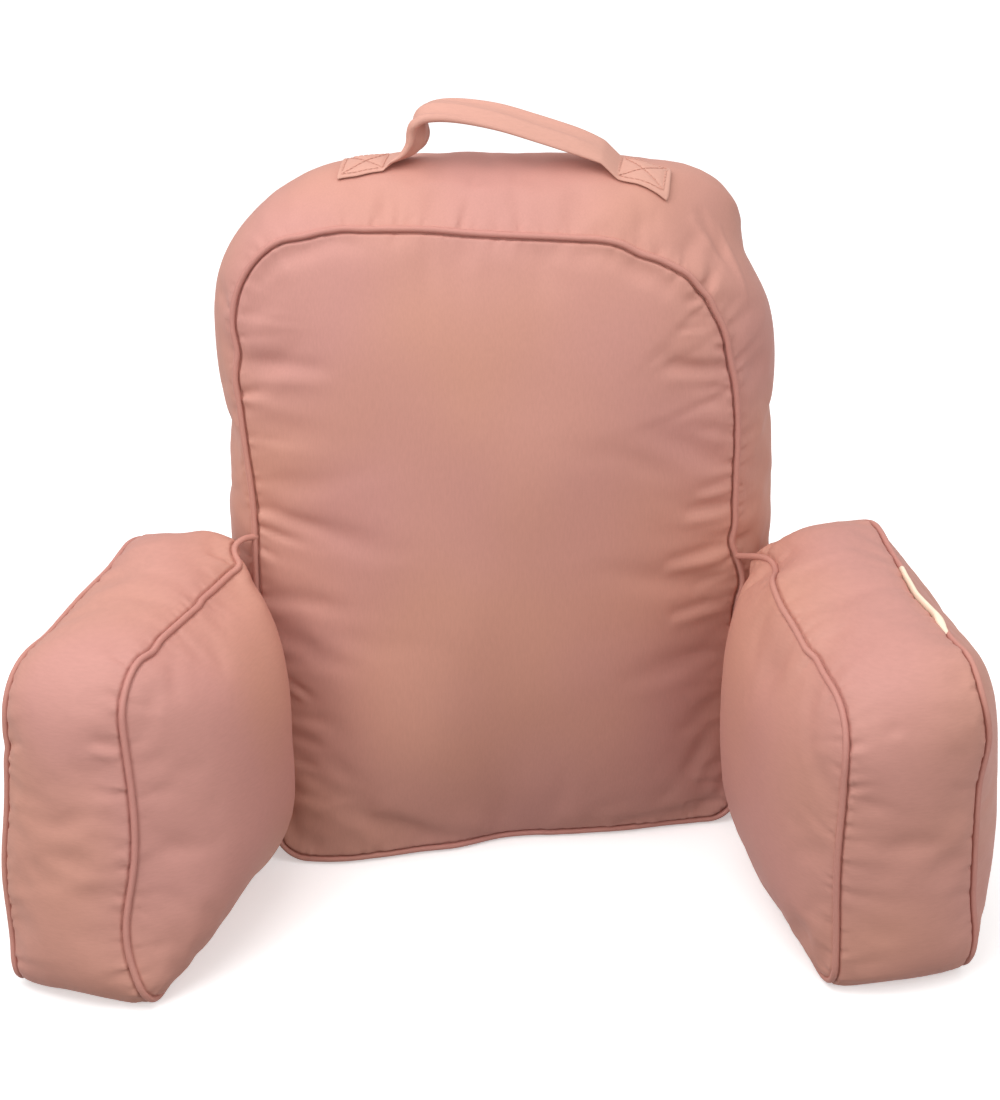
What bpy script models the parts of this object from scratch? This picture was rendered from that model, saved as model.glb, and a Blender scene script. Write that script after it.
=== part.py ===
"""Pram cushion: an upright boxed back cushion with two boxed arms, piped seams, a strap and a label.

Metres, +Z up. The origin is the middle of the back cushion's flat base, the front faces -Y, and
left and right are as seen from the front.
"""

import math
from collections import namedtuple

import bmesh
import bpy
from mathutils import Vector
from mathutils.bvhtree import BVHTree

MM = 0.001

PIPING_RADIUS = 2.2 * MM
SEAM_GAP = 0.6 * MM
TOUCH_GAP = 0.7 * MM

BACK_CROWNS = (26 * MM, 16 * MM)
BACK_FULLNESS = 2.2
BACK_SIDE_BULGE = 17 * MM
BACK_TOP_BULGE = 21 * MM
BASE_BULGE = 9 * MM
BACK_FRONT_AT_TOP = -31 * MM
BACK_REAR_AT_TOP = 57 * MM
BACK_REAR_AT_BASE = 62 * MM
BACK_HEIGHT = 366 * MM

LEFT_ARM_CROWNS = (41 * MM, 26 * MM)
RIGHT_ARM_CROWNS = (29 * MM, 39 * MM)
ARM_FULLNESS = 3.0
ARM_TOP_BULGE = 9 * MM
# How far back from an arm's rear edge its top's bulge is full.
ARM_EASE = 34 * MM
# How far an arm's fullest point lies from the middle of its inner panel towards the back cushion.
ARM_CROWN_SHIFT = 0.13

STRAP_WIDTH = 25 * MM
STRAP_THICKNESS = 2.6 * MM
STRAP_GAP = 0.5 * MM
LABEL_HEIGHT = 12 * MM
LABEL_THICKNESS = 3.0 * MM
LABEL_FROM_Y = -80 * MM
LABEL_TO_Y = -149 * MM
LABEL_SECTIONS = 7
LABEL_LEAN = (-0.74, -0.04, 0.67)

# How far in from the seam each row of a panel lies, and how far across the band each row lies.
PANEL_ROWS = (0.06, 0.16, 0.32, 0.55, 0.80)
BAND_ROWS = (0.15, 0.32, 0.50, 0.68, 0.85)
# Where the cloth leaves the piping on the panel's side and on the band's, either side of the bisector.
GROOVE_ANGLES = (75, 25, -25, -75)

ROSE = (0.56, 0.24, 0.19)
ROSE_PIPING = (0.50, 0.20, 0.16)
CREAM = (0.86, 0.78, 0.66)
CLOTH_ROUGHNESS = 0.6

Corner = namedtuple("Corner", "x y z reach arc side")
Crease = namedtuple("Crease", "x0 y0 z0 x1 y1 z1 width depth")
Fold = namedtuple("Fold", "x y z across_x across_y across_z")
Arm = namedtuple("Arm", "side inner outer crowns creases rear_y front_bulge base_bulge")

# Outlines of the seams, in millimetres. A corner's arc starts its reach away from the corner.
# Columns: x, y, z, reach, steps round the corner, steps to the next corner.
# The back's run from the base's left end round by the right; their depth is worked out below.
BACK_FRONT = [
    Corner(-131, 0, 3.2, 16, 3, 12),
    Corner(134, 0, 3.2, 16, 3, 14),
    Corner(130, 0, 356, 78, 8, 8),
    Corner(-142, 0, 373, 58, 8, 14),
]
BACK_REAR = [
    Corner(-129, 0, 3.2, 16, 3, 12),
    Corner(144, 0, 3.2, 16, 3, 14),
    Corner(141, 0, 377, 62, 8, 8),
    Corner(-136, 0, 380, 82, 8, 14),
]
# Where the front seam lies on the floor, from left to right: x, y.
BASE_LINE = [(-131, -56), (-100, -61), (-70, -56), (-38, -46), (0, -34), (40, -31), (80, -28), (134, -17)]

# The arms' run from the rear of the base forwards, up, back along the top, and down the back cushion.
LEFT_ARM_INNER = [
    Corner(-139.8, -62, 3.2, 12, 3, 9),
    Corner(-181, -218, 3.2, 17, 4, 9),
    Corner(-189, -186, 182, 26, 5, 8),
    Corner(-146, -74, 186, 6, 2, 2),
    Corner(-141, -55, 197, 7, 3, 3),
    Corner(-139.6, -48, 150, 6, 2, 7),
]
LEFT_ARM_OUTER = [
    Corner(-163.2, 24, 3.2, 14, 3, 9),
    Corner(-259, -186, 3.2, 16, 4, 9),
    Corner(-253, -166, 177, 26, 5, 8),
    Corner(-214, -68, 188, 6, 2, 2),
    Corner(-202, -36, 197, 12, 3, 3),
    Corner(-164.6, 20, 150, 10, 2, 7),
]
RIGHT_ARM_INNER = [
    Corner(141.6, -34, 3.2, 12, 3, 9),
    Corner(174, -206, 3.2, 16, 4, 9),
    Corner(179, -208, 163, 30, 5, 8),
    Corner(151, -92, 185, 6, 2, 2),
    Corner(145, -50, 191, 10, 3, 3),
    Corner(139, -30, 150, 6, 2, 7),
]
RIGHT_ARM_OUTER = [
    Corner(166.8, 44, 3.2, 14, 3, 9),
    Corner(246, -190, 3.2, 16, 4, 9),
    Corner(245, -192, 179, 26, 5, 8),
    Corner(215, -60, 188, 6, 2, 2),
    Corner(206, -20, 192, 12, 3, 3),
    Corner(167, 38, 150, 10, 2, 7),
]

# Creases and slack places, each along a line, in millimetres. A negative depth is a ridge.
# Columns: start x y z, end x y z, half width, depth.
BACK_CREASES = [
    Crease(-175, -40, 246, -140, 30, 246, 24, 6),
    Crease(86, -75, 276, 124, -45, 274, 13, 2.6),
    Crease(84, -70, 320, 112, -45, 318, 12, 2.0),
    Crease(-130, -45, 292, -104, -70, 292, 13, 2.2),
    Crease(-136, -45, 212, -90, -80, 192, 13, 2.2),
    Crease(-126, -55, 258, -84, -78, 252, 13, -1.4),
    Crease(110, -20, 368, 158, 30, 334, 15, 11.0),
    Crease(-112, -80, 66, -76, -86, 58, 13, 2.2),
]
LEFT_ARM_CREASES = [
    Crease(-196, -200, 134, -222, -208, 130, 13, 2.6),
    Crease(-172, -112, 200, -196, -120, 198, 13, 2.0),
    Crease(-150, -74, 172, -128, -92, 146, 13, 2.6),
]
RIGHT_ARM_CREASES = [
    Crease(180, -214, 158, 208, -214, 162, 13, 2.6),
    Crease(160, -112, 196, 186, -120, 196, 13, 2.0),
    Crease(148, -88, 172, 138, -106, 146, 13, 2.4),
]

# The strap's free span, from its left fold to its right end: its middle, and the way across to its rear edge.
STRAP_SPAN = [
    Fold(-49, 9, 398, 0.45, 0.88, 0.02),
    Fold(-43, 9, 401, 0.48, 0.86, 0.03),
    Fold(-39.5, 9, 407, 0.45, 0.88, 0.06),
    Fold(-39, 9, 413, 0.35, 0.92, 0.10),
    Fold(-37.5, 8, 418, 0.20, 0.95, 0.14),
    Fold(-32, 8, 420.5, 0.08, 0.97, 0.18),
    Fold(-18, 8, 420.5, 0.02, 0.96, 0.26),
    Fold(3, 8, 416.5, 0.02, 0.94, 0.34),
    Fold(24, 8, 410, 0.02, 0.93, 0.36),
    Fold(49, 8, 402, 0.06, 0.93, 0.34),
    Fold(61, 8, 397.5, 0.10, 0.94, 0.28),
]
# Where the sewn ends lie on the band, as x and y.
STRAP_LEFT_END = [(-81, 9), (-76, 9), (-71, 9), (-66, 9), (-61, 9), (-56, 9)]
STRAP_RIGHT_END = [(69, 8), (74, 8), (79, 7.5), (84, 7.5), (89, 7), (95, 7)]
# How far across the strap each point of a section lies, and how much the sewn ends are skewed.
STRAP_COLUMNS = (-1, -0.67, -0.33, 0, 0.33, 0.67, 1)
STRAP_SKEW = 0.13


def rounded_loop(corners):
    """A closed outline: at each corner an arc that starts its reach away, then a straight side."""
    loop = []
    for index, corner in enumerate(corners):
        following = corners[(index + 1) % len(corners)]
        place = Vector(corner[:3]) * MM
        before = Vector(corners[index - 1][:3]) * MM
        after = Vector(following[:3]) * MM
        start = place + (before - place).normalized() * corner.reach * MM
        end = place + (after - place).normalized() * corner.reach * MM
        next_start = after + (place - after).normalized() * following.reach * MM
        for step in range(corner.arc):
            t = step / corner.arc
            pull = 0.55 * 3 * t * (1 - t)
            chord = start.lerp(end, t * t * (3 - 2 * t))
            loop.append(chord + (place - start) * pull * (1 - t) + (place - end) * pull * t)
        for step in range(corner.side):
            loop.append(end.lerp(next_start, step / corner.side))
    return loop


def base_line(x):
    """The depth of the front seam on the floor."""
    for start, end in zip(base_path, base_path[1:]):
        if x <= end.x:
            return start.lerp(end, max((x - start.x) / (end.x - start.x), 0)).y
    return base_path[-1].y


def set_back(loop, base_at, at_top):
    """The outline with its depth, which goes from the base's line to one depth at the top."""
    placed = []
    for point in loop:
        height = min(point.z / BACK_HEIGHT, 1)
        placed.append(Vector((point.x, base_at(point.x) * (1 - height) + at_top * height, point.z)))
    return placed


def middle_of(points):
    return sum(points, Vector()) / len(points)


def outward_normal(loop, box_middle):
    """The way that a panel faces, away from the middle of its cushion."""
    total = Vector()
    for a, b in zip(loop, loop[1:] + loop[:1]):
        total += a.cross(b)
    normal = total.normalized()
    return normal if normal.dot(middle_of(loop) - box_middle) > 0 else -normal


def crown(t, fullness):
    """How far a filled panel stands out, from 0 at its seam to 1 at its middle."""
    return 1 - (1 - t) ** fullness


def squared(way, along):
    """A direction turned square to the seam."""
    return (way - along * way.dot(along)).normalized()


def groove(seam, to_panel, to_band):
    """The cloth's bed round the piping, from the panel's side to the band's."""
    inward = (to_panel + to_band).normalized()
    across = (to_panel - to_band).normalized()
    bed = PIPING_RADIUS + SEAM_GAP
    points = []
    for angle in GROOVE_ANGLES:
        turn = math.radians(angle)
        points.append(seam + (inward * math.cos(turn) + across * math.sin(turn)) * bed)
    return points


def nearest_on_line(point, start, end):
    """The nearest place to a point on the line between two others."""
    line = end - start
    along = min(max((point - start).dot(line) / line.length_squared, 0), 1)
    return start + line * along


def pressed(point, inward, creases):
    """A point after each crease has pushed it in, or out where the depth is negative."""
    push = 0
    for crease in creases:
        nearest = nearest_on_line(point, Vector(crease[0:3]) * MM, Vector(crease[3:6]) * MM)
        distance = (point - nearest).length / (crease.width * MM)
        push += crease.depth * MM * math.exp(-(distance**2))
    return point + inward * push


def panel_rows(bed, middle, outward, height, fullness, creases):
    """Points from a seam's bed to the middle of the panel."""
    points = []
    for t in PANEL_ROWS:
        point = bed.lerp(middle, t) + outward * height * crown(t, fullness)
        points.append(pressed(point, -outward, creases))
    return points


def boxed_sections(near, far, near_middle, far_middle, crowns, fullness, bulge_of, creases):
    """For each station of the two seams, the points from the middle of one panel to that of the other."""
    box_middle = middle_of(near + far)
    near_out = outward_normal(near, box_middle)
    far_out = outward_normal(far, box_middle)
    sections = []
    for index, (seam, other) in enumerate(zip(near, far)):
        near_along = (near[(index + 1) % len(near)] - near[index - 1]).normalized()
        far_along = (far[(index + 1) % len(far)] - far[index - 1]).normalized()
        over = (other - seam).normalized()
        near_in = squared(near_middle - seam, near_along)
        far_in = squared(far_middle - other, far_along)
        out = squared(-near_in - far_in, over)
        near_bed = groove(seam, near_in, squared(over, near_along))
        far_bed = groove(other, far_in, squared(-over, far_along))
        near_rows = panel_rows(near_bed[0], near_middle, near_out, crowns[0], fullness, creases)
        far_rows = panel_rows(far_bed[0], far_middle, far_out, crowns[1], fullness, creases)
        band = []
        for s in BAND_ROWS:
            bulge = bulge_of(out, seam.lerp(other, s)) * math.sin(math.pi * s) ** 0.75
            band.append(pressed(near_bed[-1].lerp(far_bed[-1], s) + out * bulge, -out, creases))
        sections.append(near_rows[::-1] + near_bed + band + far_bed[::-1] + far_rows)
    return sections, (near_middle + near_out * crowns[0], far_middle + far_out * crowns[1])


def on_floor(point):
    return Vector((point.x, point.y, max(point.z, 0)))


def kept_off(point, tree, cord):
    """A point moved out of the back cushion and of its front piping, to a small gap from both."""
    for _ in range(4):
        place, normal, _, distance = tree.find_nearest(point)
        if (point - place).dot(normal) < 0 or distance < TOUCH_GAP:
            point = place + normal * TOUCH_GAP * 1.02
        for start, end in zip(cord, cord[1:] + cord[:1]):
            nearest = nearest_on_line(point, start, end)
            if (point - nearest).length < PIPING_RADIUS + TOUCH_GAP:
                point = nearest + (point - nearest).normalized() * (PIPING_RADIUS + TOUCH_GAP * 1.02)
    return point


def linked(name, data, colour):
    """A named object with its own material, in the cushion's collection."""
    material = bpy.data.materials.new(name)
    material.use_nodes = True
    shader = material.node_tree.nodes["Principled BSDF"]
    shader.inputs["Base Color"].default_value = (*colour, 1)
    shader.inputs["Roughness"].default_value = CLOTH_ROUGHNESS
    shader.inputs["Metallic"].default_value = 0
    data.materials.append(material)
    made = bpy.data.objects.new(name, data)
    collection.objects.link(made)
    return made


def finished(name, builder, colour):
    """The object made from a bmesh, with its faces turned out and smooth."""
    bmesh.ops.recalc_face_normals(builder, faces=builder.faces)
    mesh = bpy.data.meshes.new(name)
    builder.to_mesh(mesh)
    builder.free()
    mesh.shade_smooth()
    return linked(name, mesh, colour)


def filled_form(name, sections, middles, colour):
    """A closed solid through sections that all run from one middle to the other."""
    builder = bmesh.new()
    rows = [[builder.verts.new(point) for point in section] for section in sections]
    first, last = [builder.verts.new(point) for point in middles]
    for row, following in zip(rows, rows[1:] + rows[:1]):
        builder.faces.new((first, row[0], following[0]))
        for a, b, c, d in zip(row, row[1:], following[1:], following):
            builder.faces.new((a, b, c, d))
        builder.faces.new((row[-1], last, following[-1]))
    return finished(name, builder, colour)


def swept_form(name, sections, colour):
    """A closed solid through rings, with both ends capped."""
    builder = bmesh.new()
    rings = [[builder.verts.new(point) for point in section] for section in sections]
    for ring, following in zip(rings, rings[1:]):
        for index, vertex in enumerate(ring):
            after = (index + 1) % len(ring)
            builder.faces.new((vertex, ring[after], following[after], following[index]))
    builder.faces.new(rings[0])
    builder.faces.new(rings[-1])
    return finished(name, builder, colour)


def piping(name, path, cyclic):
    """A covered cord along a seam."""
    curve = bpy.data.curves.new(name, "CURVE")
    curve.dimensions = "3D"
    curve.bevel_depth = PIPING_RADIUS
    curve.bevel_resolution = 2
    curve.use_fill_caps = not cyclic
    spline = curve.splines.new("POLY")
    spline.points.add(len(path) - 1)
    for control, place in zip(spline.points, path):
        control.co = (*place, 1)
    spline.use_cyclic_u = cyclic
    return linked(name, curve, ROSE_PIPING)


def smooth_path(rows, steps):
    """Rows blended along a Catmull-Rom curve, with the given steps between two rows."""
    result = []
    for index in range(len(rows) - 1):
        a = Vector(rows[max(index - 1, 0)])
        b = Vector(rows[index])
        c = Vector(rows[index + 1])
        d = Vector(rows[min(index + 2, len(rows) - 1)])
        for step in range(steps):
            t = step / steps
            bend = (2 * a - 5 * b + 4 * c - d) * t + (3 * b - a - 3 * c + d) * t * t
            result.append(b + (c - a + bend) * t / 2)
    result.append(Vector(rows[-1]))
    return result


def make_back():
    """The back cushion and the piping of its front and rear seams."""
    front = set_back(rounded_loop(BACK_FRONT), base_line, BACK_FRONT_AT_TOP)
    rear = set_back(rounded_loop(BACK_REAR), lambda x: BACK_REAR_AT_BASE, BACK_REAR_AT_TOP)

    def bulge_of(out, _):
        upright = BACK_TOP_BULGE if out.z > 0 else BASE_BULGE
        return BACK_SIDE_BULGE * (1 - out.z**2) + upright * out.z**2

    sections, middles = boxed_sections(
        front, rear, middle_of(front), middle_of(rear), BACK_CROWNS, BACK_FULLNESS, bulge_of, BACK_CREASES
    )
    sections = [[on_floor(point) for point in section] for section in sections]
    cushion = filled_form("back_cushion", sections, middles, ROSE)
    piping("back_front_piping", front, True)
    piping("back_rear_piping", rear, True)
    return cushion, front


def make_arm(arm, back_tree, back_cord):
    """An arm and its two pipings, seated against the back cushion; it gives the outer piping's path."""
    inner = rounded_loop(arm.inner)
    outer = rounded_loop(arm.outer)
    inner_middle = middle_of(inner)
    toward_back = (Vector(arm.inner[0][:3]) - Vector(arm.inner[1][:3])) * MM
    inner_middle += toward_back * ARM_CROWN_SHIFT

    def bulge_of(out, place):
        full = min(max((arm.rear_y * MM - place.y) / ARM_EASE, 0), 1)
        upright = ARM_TOP_BULGE if out.z > 0 else arm.base_bulge
        return (arm.front_bulge * (1 - out.z**2) + upright * out.z**2) * full

    sections, middles = boxed_sections(
        inner, outer, inner_middle, middle_of(outer), arm.crowns, ARM_FULLNESS, bulge_of, arm.creases
    )
    seated = [[on_floor(kept_off(point, back_tree, back_cord)) for point in row] for row in sections]
    filled_form(f"{arm.side}_arm", seated, middles, ROSE)

    shifts = [[(new - old).length for new, old in zip(*pair)] for pair in zip(seated, sections)]
    rows = len(PANEL_ROWS)
    bed = len(GROOVE_ANGLES)
    on_back = arm.inner[5].arc + arm.inner[5].side
    ends = {"inner": on_back + arm.inner[4].side, "outer": on_back}
    beds = {"inner": slice(rows, rows + bed), "outer": slice(-rows - bed, -rows)}
    paths = {}
    for panel, seam in (("inner", inner), ("outer", outer)):
        free = [max(shift[beds[panel]]) < 0.1 * MM for shift in shifts]
        stations = range(len(seam) - ends[panel])
        paths[panel] = [seam[index] for index in stations if free[index]]
        piping(f"{arm.side}_arm_{panel}_piping", paths[panel], False)
    return paths["outer"]


def strap_section(middle, across, normal):
    """A section of the strap's free span: its under side, then its upper side back again."""
    columns = [middle + across * STRAP_WIDTH / 2 * column for column in STRAP_COLUMNS]
    under = [point - normal * STRAP_THICKNESS / 2 for point in columns]
    over = [point + normal * STRAP_THICKNESS / 2 for point in columns]
    return under + over[::-1]


def laid_section(x, y, back_tree):
    """A section of the strap where it is sewn down, following the band under it."""
    under = []
    over = []
    for column in STRAP_COLUMNS:
        aside = column * STRAP_WIDTH / 2
        above = Vector((x * MM + STRAP_SKEW * aside, y * MM + aside, 1))
        place, normal, _, _ = back_tree.ray_cast(above, Vector((0, 0, -1)))
        under.append(place + normal * STRAP_GAP)
        over.append(place + normal * (STRAP_GAP + STRAP_THICKNESS))
    return under + over[::-1]


def make_strap(back_tree):
    sections = [laid_section(x, y, back_tree) for x, y in STRAP_LEFT_END]
    path = smooth_path([fold[:3] for fold in STRAP_SPAN], 2)
    widths = smooth_path([fold[3:] for fold in STRAP_SPAN], 2)
    for index, (place, across) in enumerate(zip(path, widths)):
        before = path[max(index - 1, 0)]
        after = path[min(index + 1, len(path) - 1)]
        normal = (after - before).cross(across).normalized()
        sections.append(strap_section(place * MM, across.normalized(), normal))
    sections += [laid_section(x, y, back_tree) for x, y in STRAP_RIGHT_END]
    swept_form("handle", sections, ROSE)


def top_seam_at(path, y):
    """The place on an arm's top seam at the given depth."""
    for a, b in zip(path, path[1:]):
        if min(a.z, b.z) > 150 * MM and a.y <= y <= b.y:
            return a.lerp(b, (y - a.y) / (b.y - a.y))
    return path[-1]


def make_label(path):
    """A folded loop of woven tape that stands out of the right arm's outer seam."""
    way = Vector(LABEL_LEAN).normalized()
    aside = (path[-1] - path[len(path) // 2]).cross(way).normalized() * LABEL_THICKNESS / 2
    # Columns: part of the height, part of the half thickness.
    profile = ((0, 0.35), (0.5, 0.6), (0.86, 1), (1, 0.5))
    sections = []
    for index in range(LABEL_SECTIONS):
        part = index / (LABEL_SECTIONS - 1)
        root = top_seam_at(path, LABEL_FROM_Y + (LABEL_TO_Y - LABEL_FROM_Y) * part)
        root = root + way * (PIPING_RADIUS + STRAP_GAP)
        front = [root + way * LABEL_HEIGHT * height + aside * thick for height, thick in profile]
        rear = [root + way * LABEL_HEIGHT * height - aside * thick for height, thick in profile]
        sections.append(front + rear[::-1])
    swept_form("label", sections, CREAM)


for item in list(bpy.data.objects):
    bpy.data.objects.remove(item, do_unlink=True)
collection = bpy.data.collections.new("pram_cushion")
bpy.context.scene.collection.children.link(collection)

base_path = smooth_path([(x * MM, y * MM, 0) for x, y in BASE_LINE], 4)
back, front_seam = make_back()
back_tree = BVHTree.FromObject(back, bpy.context.evaluated_depsgraph_get())
left_arm = Arm(
    "left", LEFT_ARM_INNER, LEFT_ARM_OUTER, LEFT_ARM_CROWNS, LEFT_ARM_CREASES, -26, 13 * MM, 5 * MM
)
right_arm = Arm(
    "right", RIGHT_ARM_INNER, RIGHT_ARM_OUTER, RIGHT_ARM_CROWNS, RIGHT_ARM_CREASES, -12, 10 * MM, 5 * MM
)
make_arm(left_arm, back_tree, front_seam)
right_outer_path = make_arm(right_arm, back_tree, front_seam)
make_strap(back_tree)
make_label(right_outer_path)
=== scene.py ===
# %% [markdown]
# # A pram cushion in dusty rose sateen
# The real thing is three filled cotton cushions: an upright back and two arms that splay forwards.
# Covered cord is sewn into every seam, a stitched strap lies on the top, and a small woven loop is
# caught in the seam of one arm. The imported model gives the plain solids. This lesson dresses them:
# it puffs the cloth, draws the seams in, sews the cords and gives each cloth its finish.

# %% The frame
import math
import random
from collections import namedtuple

import bmesh
import bpy
import numpy as np
from mathutils import Matrix, Vector, noise
from mathutils.bvhtree import BVHTree
from mathutils.kdtree import KDTree


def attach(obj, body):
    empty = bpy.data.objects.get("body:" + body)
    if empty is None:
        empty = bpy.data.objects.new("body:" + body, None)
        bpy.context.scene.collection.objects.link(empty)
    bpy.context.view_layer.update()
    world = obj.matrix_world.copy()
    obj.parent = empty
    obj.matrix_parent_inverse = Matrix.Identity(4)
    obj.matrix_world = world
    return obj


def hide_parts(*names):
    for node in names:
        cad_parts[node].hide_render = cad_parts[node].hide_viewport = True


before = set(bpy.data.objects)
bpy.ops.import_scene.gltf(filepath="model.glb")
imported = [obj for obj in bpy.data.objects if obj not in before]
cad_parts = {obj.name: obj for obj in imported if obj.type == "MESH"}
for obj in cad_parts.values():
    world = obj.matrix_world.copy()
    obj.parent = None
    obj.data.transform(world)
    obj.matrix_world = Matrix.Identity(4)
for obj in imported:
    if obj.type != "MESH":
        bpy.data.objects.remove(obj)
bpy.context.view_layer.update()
MM = 0.001
scene = bpy.context.scene
print("nodes:", ", ".join(sorted(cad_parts)))

# %% [markdown]
# ## Small helpers
# A colour is written as the sRGB hex value that a colour picker shows. Blender's shaders want
# linear light, so one function turns it. Another function adds a node with its settings and its
# links, which keeps each material short enough to read.

# %% Colour and node helpers
def linear(hex_value):
    """An sRGB hex colour as linear red, green, blue and alpha."""
    channels = [int(hex_value[index : index + 2], 16) / 255 for index in (1, 3, 5)]
    return [c / 12.92 if c <= 0.04045 else ((c + 0.055) / 1.055) ** 2.4 for c in channels] + [1]


def node(material, kind, links=(), inputs=(), **settings):
    """A new shader node with its settings, its input values and the links that lead into it."""
    made = material.node_tree.nodes.new(kind)
    for key, value in settings.items():
        setattr(made, key, value)
    for key, value in dict(inputs).items():
        made.inputs[key].default_value = value
    for key, source in dict(links).items():
        material.node_tree.links.new(source, made.inputs[key])
    return made


print("white in linear light:", linear("#FFFFFF"))

# %% [markdown]
# ## Meshes as arrays
# Cloth takes its shape from thousands of points that each move a little, which is quick when they
# are one array. These helpers read a mesh's points and normals, write the points back, and turn
# what a modifier or a bevelled curve shows into plain mesh.

# %% Mesh helpers
def applied(thing):
    """The object with its modifiers turned into mesh."""
    shape = thing.evaluated_get(bpy.context.evaluated_depsgraph_get())
    mesh = bpy.data.meshes.new_from_object(shape)
    thing.modifiers.clear()
    thing.data = mesh
    return thing


def subdivided(thing):
    """The object with its faces cut finer and rounded, one step of Subdivision Surface."""
    finer = thing.modifiers.new("finer", "SUBSURF")
    finer.levels = 1
    finer.render_levels = 1
    return applied(thing)


def points_of(mesh):
    """The vertices of a mesh as an array."""
    flat = np.empty(len(mesh.vertices) * 3)
    mesh.vertices.foreach_get("co", flat)
    return flat.reshape(-1, 3)


def normals_of(mesh):
    """The normals of a mesh's vertices as an array."""
    flat = np.empty(len(mesh.vertices) * 3)
    mesh.vertices.foreach_get("normal", flat)
    return flat.reshape(-1, 3)


def put_points(mesh, points):
    """The array's places, written back into the mesh."""
    mesh.vertices.foreach_set("co", points.ravel())
    mesh.update()


def linked(name, data):
    """A new object in the scene that shows a mesh, a curve, a light or a camera."""
    made = bpy.data.objects.new(name, data)
    scene.collection.objects.link(made)
    return made


def curve_mesh(name, curve):
    """The mesh of a bevelled curve."""
    guide = linked(name, curve)
    shape = guide.evaluated_get(bpy.context.evaluated_depsgraph_get())
    mesh = bpy.data.meshes.new_from_object(shape)
    bpy.data.objects.remove(guide)
    return mesh


print("points of the packed back:", len(points_of(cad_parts["back_cushion"].data)))

# %% [markdown]
# ## Where the back's seams run
# On the real cushion a seam is a line that the maker marked on the panel before sewing. Here each
# seam is a short table of corners, in millimetres, and the arcs between them are worked out. The
# cords follow these lines, and so do the grooves and gathers of the cloth. The front panel's foot
# isn't straight, because the filling pushes it forward between the arms, so it has a line of its
# own.

# %% The back's corners
# A corner's place, how far before it the arc starts, and the steps in its arc and in the next side.
Corner = namedtuple("Corner", "x y z reach arc side")
FINER = 5
ROUNDNESS = 0.55
BACK_HEIGHT = 366
FRONT_AT_TOP = -31
REAR_AT_TOP = 57
REAR_AT_BASE = 62

BACK_FRONT = [
    Corner(-131, 0, 3.2, 16, 3, 12),
    Corner(134, 0, 3.2, 16, 3, 14),
    Corner(130, 0, 356, 78, 8, 8),
    Corner(-142, 0, 373, 58, 8, 14),
]
BACK_REAR = [
    Corner(-129, 0, 3.2, 16, 3, 12),
    Corner(144, 0, 3.2, 16, 3, 14),
    Corner(141, 0, 377, 62, 8, 8),
    Corner(-136, 0, 380, 82, 8, 14),
]
BASE_LINE = [
    (-131, -56), (-100, -61), (-70, -56), (-38, -46), (0, -34), (40, -31), (80, -28), (134, -17),
]
print("corners of the back's seams:", len(BACK_FRONT) + len(BACK_REAR))

# %% [markdown]
# ## Where the arms' seams run
# Each arm is a box of two panels and a band. An outline starts at the foot by the back, runs
# forward, climbs the front edge, comes back along the top and goes down against the back cushion.
# The last side of an outer seam presses on the back, so it gets no cord.

# %% The arms' corners
LEFT_INNER = [
    Corner(-139.8, -62, 3.2, 12, 3, 9),
    Corner(-181, -218, 3.2, 17, 4, 9),
    Corner(-189, -186, 182, 26, 5, 8),
    Corner(-146, -74, 186, 6, 2, 2),
    Corner(-141, -55, 197, 7, 3, 3),
    Corner(-139.6, -48, 150, 6, 2, 7),
]
LEFT_OUTER = [
    Corner(-163.2, 24, 3.2, 14, 3, 9),
    Corner(-259, -186, 3.2, 16, 4, 9),
    Corner(-253, -166, 177, 26, 5, 8),
    Corner(-214, -68, 188, 6, 2, 2),
    Corner(-202, -36, 197, 12, 3, 3),
    Corner(-164.6, 20, 150, 10, 2, 7),
]
RIGHT_INNER = [
    Corner(141.6, -34, 3.2, 12, 3, 9),
    Corner(174, -206, 3.2, 16, 4, 9),
    Corner(179, -208, 163, 30, 5, 8),
    Corner(151, -92, 185, 6, 2, 2),
    Corner(145, -50, 191, 10, 3, 3),
    Corner(139, -30, 150, 6, 2, 7),
]
RIGHT_OUTER = [
    Corner(166.8, 44, 3.2, 14, 3, 9),
    Corner(246, -190, 3.2, 16, 4, 9),
    Corner(245, -192, 179, 26, 5, 8),
    Corner(215, -60, 188, 6, 2, 2),
    Corner(206, -20, 192, 12, 3, 3),
    Corner(167, 38, 150, 10, 2, 7),
]
print("corners of the arms' seams:", len(LEFT_INNER + LEFT_OUTER + RIGHT_INNER + RIGHT_OUTER))

# %% [markdown]
# ## The two hooks
# At the top of each arm the inner cord bends over in a small hook and runs into the back's cord.
# The bend is too tight and too uneven for a table of corners, so its places are given one by one.

# %% The hooks of the inner cords
LEFT_HOOK = [
    (-158, -100, 185), (-150.6, -82, 186), (-145.5, -71.5, 187.6), (-141.4, -66, 189.2),
    (-141.3, -63, 191), (-143.6, -60, 192.8), (-144.8, -56, 195.4), (-143.4, -52, 197.6),
    (-140, -48, 198.4), (-136.8, -44.5, 197.8), (-133.6, -42, 197),
]
RIGHT_HOOK = [
    (161.5, -151, 174.4), (157.6, -138, 176.9), (154.5, -127, 178.8), (151, -115, 180.9),
    (148.4, -100, 183.4), (147.6, -88, 184.8), (149, -78, 183.4), (150.9, -69, 181.2),
    (151.5, -61, 180.8), (150.2, -53, 181.8), (147, -46, 181.3), (143, -39, 179),
    (139.4, -33, 176.6), (136, -27.5, 174.4), (132.6, -23.6, 173),
]
print("places in the hooks:", len(LEFT_HOOK), "and", len(RIGHT_HOOK))

# %% [markdown]
# ## Seams that wander
# No seam is quite true: it sways by a millimetre or three where the filling pushes or where the
# cloth was eased under the needle. Each row shifts the seam near one place, all in millimetres,
# and the shift fades with the distance.

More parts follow.
